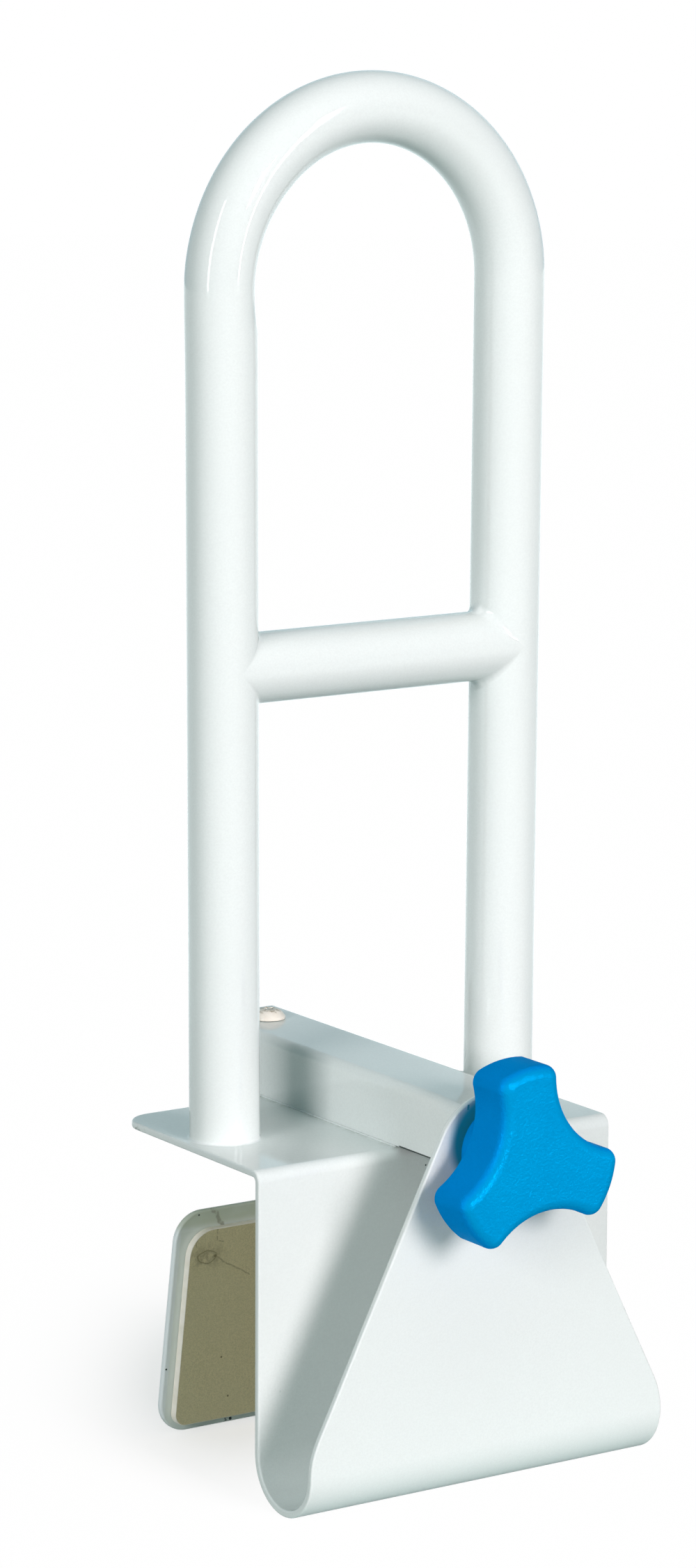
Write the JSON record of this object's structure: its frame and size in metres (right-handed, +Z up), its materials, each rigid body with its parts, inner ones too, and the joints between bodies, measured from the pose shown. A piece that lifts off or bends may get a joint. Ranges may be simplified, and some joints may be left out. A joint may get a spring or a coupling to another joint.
{
  "type": "bathtub safety rail",
  "caption": "Tall tube loop with a cross rung on a folded steel clamp; a three-lobed knob draws a padded jaw along a channel against the tub wall.",
  "frame": {"origin": "on the centre plane, below the axes of the loop's legs, on the underside of the rim pad, where the rail rests on the rim of the tub", "axes": "+X across the rail, +Y from the knob to the jaw (into the tub), +Z up along the legs"},
  "size_m": [0.1524, 0.1994, 0.4997],
  "materials": {
    "white_paint": "glossy white powder coat on steel",
    "blue_plastic": "blue moulded plastic with a fine texture",
    "tan_rubber": "tan rubber sheet, matt",
    "cream_plastic": "cream lacquered screw head",
    "black_plastic": "black moulded plastic",
    "white_plastic": "white moulded plastic",
    "zinc_steel": "zinc-plated steel"
  },
  "bodies": {
    "frame": {"handle_loop": "white_paint", "cross_rung": "white_paint", "clamp_bracket": "white_paint", "guide_channel": "white_paint", "fixed_pad": "tan_rubber", "rim_pad": "tan_rubber", "guide_screw": "cream_plastic", "guide_nut": "zinc_steel", "glide_pad": "black_plastic", "screw_bush": "black_plastic"},
    "knob_drive": {"knob": "blue_plastic", "knob_insert": "zinc_steel", "lead_screw": "zinc_steel", "retaining_collar": "zinc_steel", "collar_pin": "zinc_steel"},
    "jaw_carriage": {"inner_slide": "white_paint", "travel_nut": "zinc_steel", "slide_end_cap": "white_plastic", "jaw_arm": "white_paint", "arm_gusset": "white_paint", "jaw_plate": "white_paint", "jaw_pad": "tan_rubber", "arm_rivet_upper": "zinc_steel", "arm_rivet_lower": "zinc_steel"}
  },
  "joints": [
    {"name": "knob_turn", "type": "hinge", "parent": "frame", "child": "knob_drive", "pos_m": [0, -0.1, 0.01101], "axis": [0, 1, 0], "range_deg": [-7524, 1524]},
    {"name": "jaw_slide", "type": "slide", "parent": "frame", "child": "jaw_carriage", "axis": [0, 1, 0], "range_m": [-0.0127, 0.0627]}
  ],
  "couplings": [
    {"joint": "jaw_slide", "follows": "knob_turn", "m_per_rad": -0.00047746}
  ]
}
